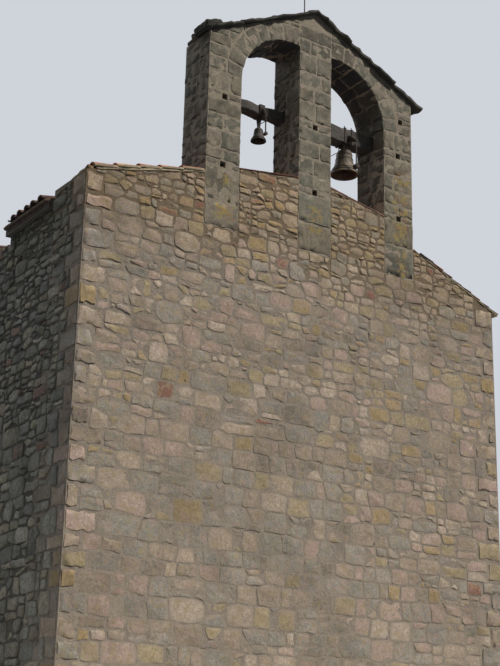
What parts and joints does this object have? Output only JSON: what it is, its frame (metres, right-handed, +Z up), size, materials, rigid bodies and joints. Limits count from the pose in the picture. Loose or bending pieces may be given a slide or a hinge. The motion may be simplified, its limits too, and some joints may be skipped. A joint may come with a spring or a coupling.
{
  "type": "rubble-stone gable block with a two-arched bell gable, two bells and their strikers",
  "caption": "Stone gable block that carries a bell gable with two arched openings, timber beams, bells, clappers and striking hammers.",
  "frame": {"origin": "middle of the footprint's box at ground level", "axes": "+Z up, -Y out of the front face that carries the bell gable, +X to the right seen from the front"},
  "size_m": [8.3, 6.16, 14.5809],
  "materials": {
    "rubble_stone": "rough rubble with recessed mortar",
    "ashlar_stone": "squared blocks with lichen",
    "slate_slab": "rough slabs with moss",
    "clay_tile": "unglazed and weathered",
    "weathered_oak": "grey and checked",
    "wrought_iron": "dark and rusty",
    "bell_bronze": "weathered bronze"
  },
  "bodies": {
    "masonry": {"front_gable_wall": "rubble_stone", "left_side_wall": "rubble_stone", "right_side_wall": "rubble_stone", "rear_party_wall": "rubble_stone", "left_eave_course": "clay_tile", "right_eave_course": "clay_tile", "left_roof_slope": "clay_tile", "right_roof_slope": "clay_tile", "ridge_course": "clay_tile", "left_verge_course": "clay_tile", "right_verge_course": "clay_tile", "left_opening_sill": "clay_tile", "right_opening_sill": "clay_tile", "left_pier": "ashlar_stone", "middle_pier": "ashlar_stone", "right_pier": "ashlar_stone", "left_arch_ring": "ashlar_stone", "right_arch_ring": "ashlar_stone", "left_spandrel": "ashlar_stone", "right_spandrel": "ashlar_stone", "left_cap_front_row": "slate_slab", "left_cap_rear_row": "slate_slab", "right_cap_slabs": "slate_slab", "apex_cap_slab": "slate_slab", "lightning_rod": "wrought_iron", "small_bell_beam": "weathered_oak", "large_bell_beam": "weathered_oak", "small_bell_hanger": "wrought_iron", "large_bell_straps": "wrought_iron", "small_crown_bar": "wrought_iron", "large_crown_bar": "wrought_iron", "large_beam_tie": "wrought_iron", "small_bell": "bell_bronze", "large_bell": "bell_bronze", "small_hammer_bracket": "wrought_iron", "large_hammer_bracket": "wrought_iron"},
    "small_clapper": {"small_bell_clapper": "wrought_iron"},
    "large_clapper": {"large_bell_clapper": "wrought_iron"},
    "small_hammer": {"small_bell_hammer": "wrought_iron"},
    "large_hammer": {"large_bell_hammer": "wrought_iron"}
  },
  "joints": [
    {"name": "small_clapper_swing", "type": "hinge", "parent": "masonry", "child": "small_clapper", "pos_m": [-0.67, -2.465, 11.1364], "axis": [1, 0, 0], "range_deg": [-20, 20]},
    {"name": "large_clapper_swing", "type": "hinge", "parent": "masonry", "child": "large_clapper", "pos_m": [1.057, -2.555, 11.1834], "axis": [1, 0, 0], "range_deg": [-20, 20]},
    {"name": "small_hammer_strike", "type": "hinge", "parent": "masonry", "child": "small_hammer", "pos_m": [-0.67, -2.665, 11.33], "axis": [1, 0, 0], "range_deg": [-15, 6]},
    {"name": "large_hammer_strike", "type": "hinge", "parent": "masonry", "child": "large_hammer", "pos_m": [1.057, -2.88, 11.3], "axis": [1, 0, 0], "range_deg": [-15, 3.5]}
  ]
}
